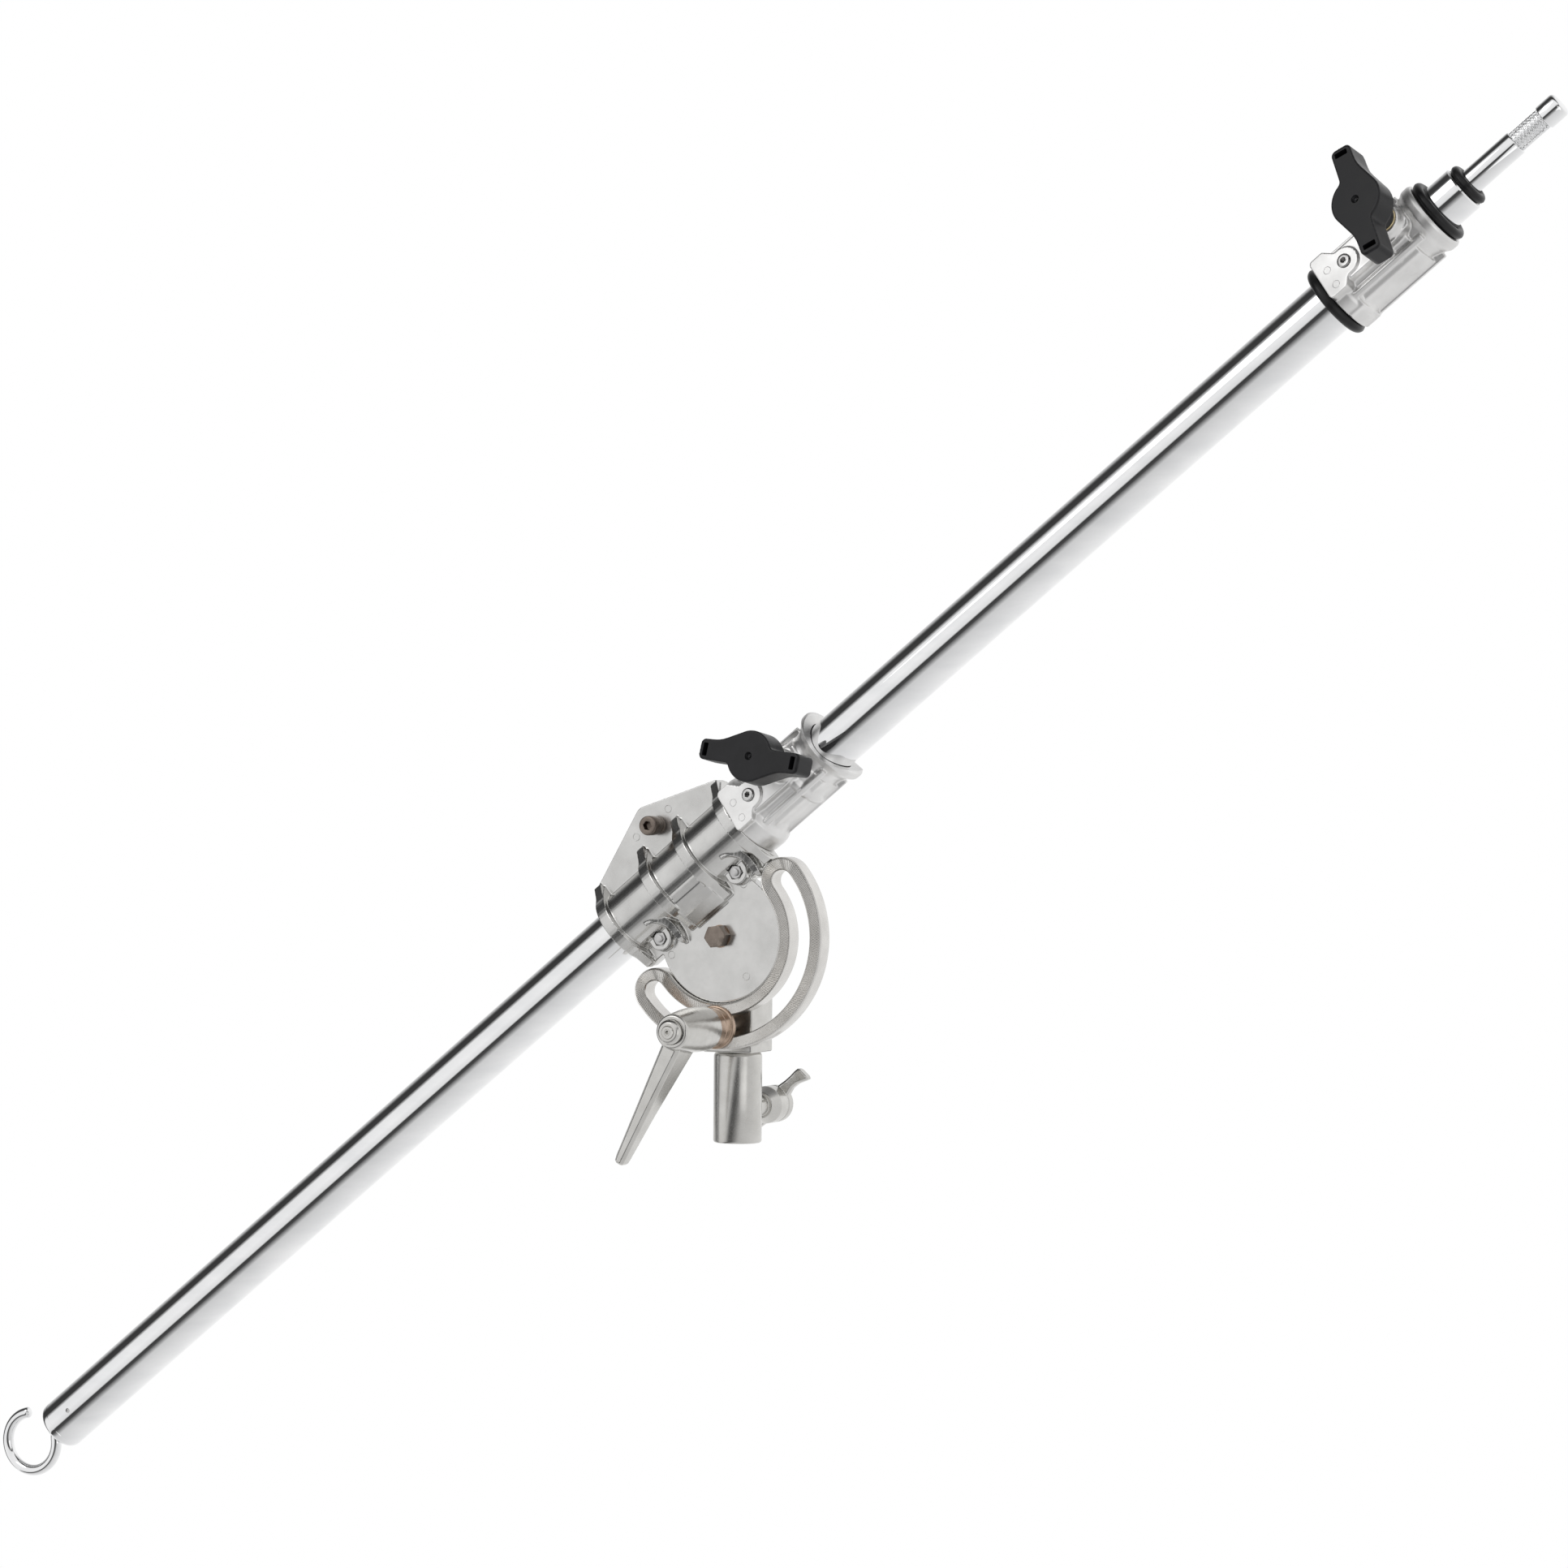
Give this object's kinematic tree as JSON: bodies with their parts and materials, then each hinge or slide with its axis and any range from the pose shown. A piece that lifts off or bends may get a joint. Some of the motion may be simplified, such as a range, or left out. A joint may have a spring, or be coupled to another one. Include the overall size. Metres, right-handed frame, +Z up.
{
  "type": "telescopic lighting boom arm",
  "caption": "Telescopic chrome boom arm with a tilting clamp head on a spigot socket, T-knob brakes, a balance hook and a light pin.",
  "frame": {"origin": "centre of the stand socket's mouth", "axes": "+Z up the socket towards the pivot, +X towards the boom's light pin, -Y towards the clamp lever's side; the boom tilts about Y"},
  "size_m": [1.1302, 0.165, 0.9146],
  "materials": {
    "chrome_tube": "mirror chrome plate",
    "cast_aluminium": "tumbled die casting",
    "nickel": "satin nickel plate",
    "machined_sector": "serrated faces, satin",
    "bronzed_steel": "bronzed",
    "zinc_steel": "zinc plate",
    "bronze": "sintered bronze",
    "brass": "turned",
    "black_plastic": "satin moulded",
    "rubber": "matt",
    "nylon": "moulded nylon"
  },
  "bodies": {
    "root": {"stand_socket": "nickel", "pivot_block": "nickel", "pivot_bolt": "bronzed_steel", "pivot_washer": "nickel", "pivot_nut": "zinc_steel", "clamp_stud": "zinc_steel"},
    "head": {"front_casting": "cast_aluminium", "rear_casting": "cast_aluminium", "serrated_sector": "machined_sector", "pivot_bush": "bronze", "barrel_liner": "nylon", "shell_screws": "zinc_steel", "shell_nuts": "zinc_steel", "flange_screw": "bronzed_steel", "flange_spacer": "bronzed_steel", "flange_nut": "zinc_steel", "lower_collar": "cast_aluminium", "lower_ear_screw": "zinc_steel"},
    "boom_tube": {"outer_tube": "chrome_tube", "end_plug": "chrome_tube", "plug_rivet": "zinc_steel", "balance_hook": "chrome_tube", "top_collar": "cast_aluminium", "top_ear_screw": "zinc_steel", "lower_bump_ring": "rubber", "upper_bump_ring": "rubber", "tube_bush": "nylon"},
    "extension": {"inner_tube": "chrome_tube", "guide_ring": "nylon", "pin_socket": "cast_aluminium", "light_pin": "chrome_tube", "pin_ring": "rubber", "pin_dowel": "zinc_steel"},
    "lower_brake": {"lower_brake_pad": "nylon"},
    "lower_grip": {"lower_knob_screw": "brass", "lower_knob_washer": "brass", "lower_knob": "black_plastic"},
    "top_brake": {"top_brake_pad": "nylon"},
    "top_grip": {"top_knob_screw": "brass", "top_knob_washer": "brass", "top_knob": "black_plastic"},
    "clamp": {"clamp_bush": "bronze"},
    "lever_hub": {"lever_core": "zinc_steel", "lever_spring": "zinc_steel", "lever_cap": "nickel"},
    "lever": {"clamp_lever": "nickel"},
    "wing_point": {"wing_tip": "brass"},
    "wing": {"wing_screw": "nickel"}
  },
  "joints": [
    {"name": "boom_tilt", "type": "hinge", "parent": "root", "child": "head", "pos_m": [0, -0.0245, 0.137], "axis": [0, -1, 0], "range_deg": [-129, 51]},
    {"name": "tube_slide", "type": "slide", "parent": "head", "child": "boom_tube", "axis": [0.7771, 0, 0.6293], "range_m": [-0.43, 0.54]},
    {"name": "extension_slide", "type": "slide", "parent": "boom_tube", "child": "extension", "axis": [0.7771, 0, 0.6293], "range_m": [-0.015, 0.7]},
    {"name": "lower_pad_slide", "type": "slide", "parent": "head", "child": "lower_brake", "axis": [-0.1308, -0.9781, 0.1616], "range_m": [-0.0001, 0.0014]},
    {"name": "lower_knob_turn", "type": "hinge", "parent": "lower_brake", "child": "lower_grip", "pos_m": [0.05291, -0.05384, 0.24963], "axis": [-0.1308, -0.9781, 0.1616], "range_deg": [0, 360]},
    {"name": "top_pad_slide", "type": "slide", "parent": "boom_tube", "child": "top_brake", "axis": [-0.2204, -0.9367, 0.2722], "range_m": [-0.0001, 0.0014]},
    {"name": "top_knob_turn", "type": "hinge", "parent": "top_brake", "child": "top_grip", "pos_m": [0.45706, -0.0526, 0.5824], "axis": [-0.2204, -0.9367, 0.2722], "range_deg": [0, 360]},
    {"name": "clamp_slide", "type": "slide", "parent": "root", "child": "clamp", "axis": [0, -1, 0], "range_m": [-0.0001, 0.0006]},
    {"name": "lever_turn", "type": "hinge", "parent": "clamp", "child": "lever_hub", "pos_m": [0, -0.032, 0.0777], "axis": [0, -1, 0], "range_deg": [0, 120]},
    {"name": "lever_lift", "type": "slide", "parent": "lever_hub", "child": "lever", "axis": [0, -1, 0], "range_m": [0, 0.005], "stiffness_N_per_m": 900, "springref_m": -0.003, "deforming": ["lever_spring"]},
    {"name": "wing_tip_slide", "type": "slide", "parent": "root", "child": "wing_point", "axis": [0, 1, 0], "range_m": [-0.0004, 0.0031]},
    {"name": "wing_turn", "type": "hinge", "parent": "wing_point", "child": "wing", "pos_m": [0, 0.03, 0.022], "axis": [0, 1, 0], "range_deg": [-90, 720]}
  ],
  "couplings": [
    {"joint": "lower_pad_slide", "follows": "lower_knob_turn", "m_per_rad": 0.00019894},
    {"joint": "top_pad_slide", "follows": "top_knob_turn", "m_per_rad": 0.00019894},
    {"joint": "clamp_slide", "follows": "lever_turn", "m_per_rad": 0.00023873},
    {"joint": "wing_tip_slide", "follows": "wing_turn", "m_per_rad": 0.00023873}
  ]
}
